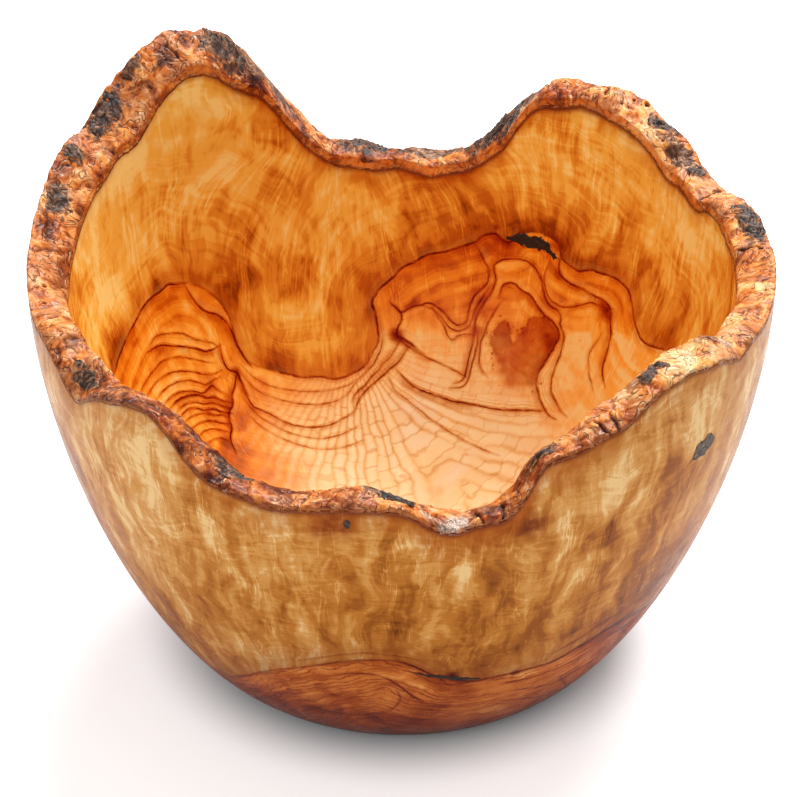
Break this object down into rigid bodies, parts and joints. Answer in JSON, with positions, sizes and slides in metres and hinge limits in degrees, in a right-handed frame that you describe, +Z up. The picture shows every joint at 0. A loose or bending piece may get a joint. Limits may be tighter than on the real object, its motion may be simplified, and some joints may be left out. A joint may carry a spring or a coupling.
{
  "type": "bowl",
  "caption": "Deep turned wooden bowl with a natural bark edge that rises in two wings and dips front and back, standing on a flat foot.",
  "frame": {"origin": "middle of the flat foot, on the surface that the bowl stands on", "axes": "+Z up through the lathe axis, -Y towards the front, where the rim dips lowest, +X to the right as seen from the front"},
  "size_m": [0.2, 0.1987, 0.1532],
  "materials": {
    "turned_wood": "oiled and polished, semi-gloss",
    "edge_bark": "rough natural bark edge, sealed, glossy on its ridges",
    "outer_bark": "rough weathered bark",
    "dead_knot": "dull dead wood",
    "bark_inclusion": "dark resinous bark, sealed"
  },
  "bodies": {
    "root": {"bowl_body": "turned_wood", "bark_edge": "edge_bark", "outer_bark_flakes": "outer_bark", "side_knot": "dead_knot", "pin_knot": "dead_knot", "inner_bark_pocket": "bark_inclusion", "lower_bark_pocket": "bark_inclusion"}
  },
  "joints": []
}
